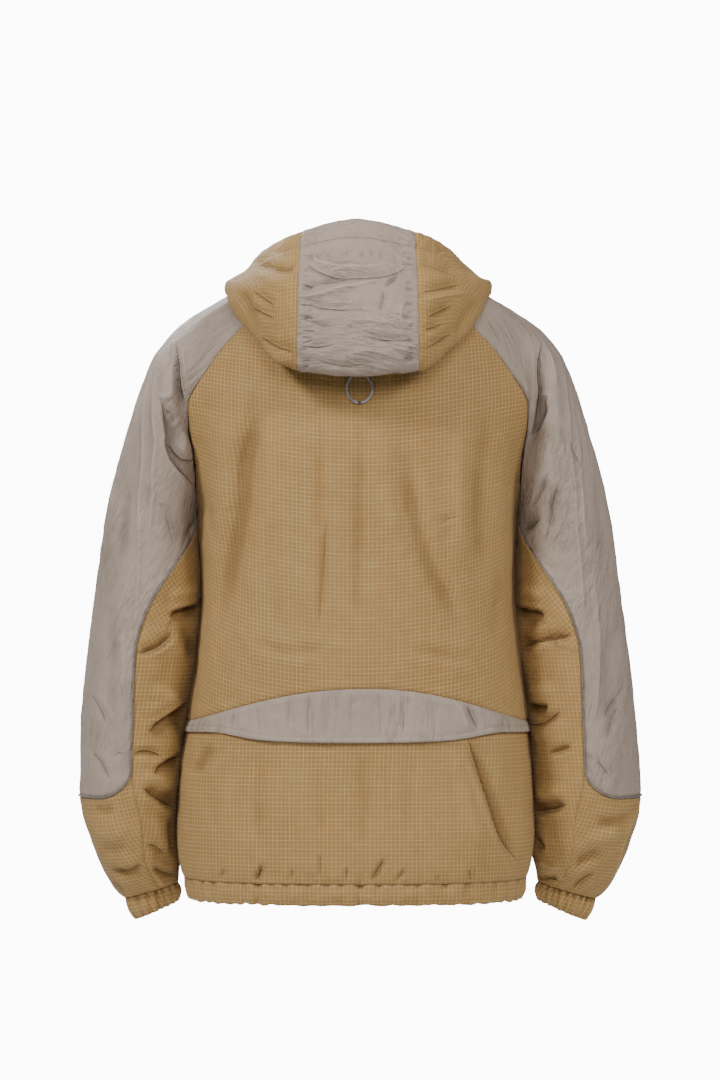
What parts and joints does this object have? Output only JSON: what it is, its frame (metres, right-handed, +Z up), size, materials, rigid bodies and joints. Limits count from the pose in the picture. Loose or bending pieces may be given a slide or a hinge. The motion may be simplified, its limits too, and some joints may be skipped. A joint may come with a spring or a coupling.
{
  "type": "hooded windbreaker jacket",
  "caption": "Hooded raglan windbreaker worn zipped with the hood down: ripstop body, contrast outer sleeves and back vent, gathered cuffs and hem, hang loop.",
  "frame": {"origin": "middle of the base of the neck, where the jacket hangs from the wearer's shoulders", "axes": "+Z up, the jacket's front faces -Y and the wearer's left side is +X"},
  "size_m": [0.6238, 0.341, 0.763],
  "materials": {
    "tan_ripstop": "dry matte ripstop nylon with a fine square grid",
    "grey_nylon": "crinkled nylon with a soft sheen",
    "grey_piping": "smooth cord piping",
    "steel_cord": "glossy round cord",
    "zip_tape": "woven tape with moulded teeth",
    "zip_metal": "satin metal"
  },
  "bodies": {
    "jacket": {"back_lower": "tan_ripstop", "back_upper": "tan_ripstop", "back_vent": "grey_nylon", "cuff_left": "tan_ripstop", "cuff_right": "tan_ripstop", "front_left": "tan_ripstop", "front_right": "tan_ripstop", "hang_loop": "steel_cord", "hem_channel": "tan_ripstop", "hood_centre": "grey_nylon", "hood_left": "tan_ripstop", "hood_right": "tan_ripstop", "loop_tack": "steel_cord", "piping_left": "grey_piping", "piping_right": "grey_piping", "sleeve_left_forearm": "tan_ripstop", "sleeve_left_outer": "grey_nylon", "sleeve_left_under": "tan_ripstop", "sleeve_right_forearm": "tan_ripstop", "sleeve_right_outer": "grey_nylon", "sleeve_right_under": "tan_ripstop", "zip_left": "zip_tape", "zip_right": "zip_tape", "zip_slider": "zip_metal"},
    "pull": {"zip_pull": "zip_metal"}
  },
  "joints": [
    {"name": "pull_swing", "type": "hinge", "parent": "jacket", "child": "pull", "pos_m": [0, -0.09212, -0.03722], "axis": [-1, 0, 0], "range_deg": [0, 150]}
  ]
}
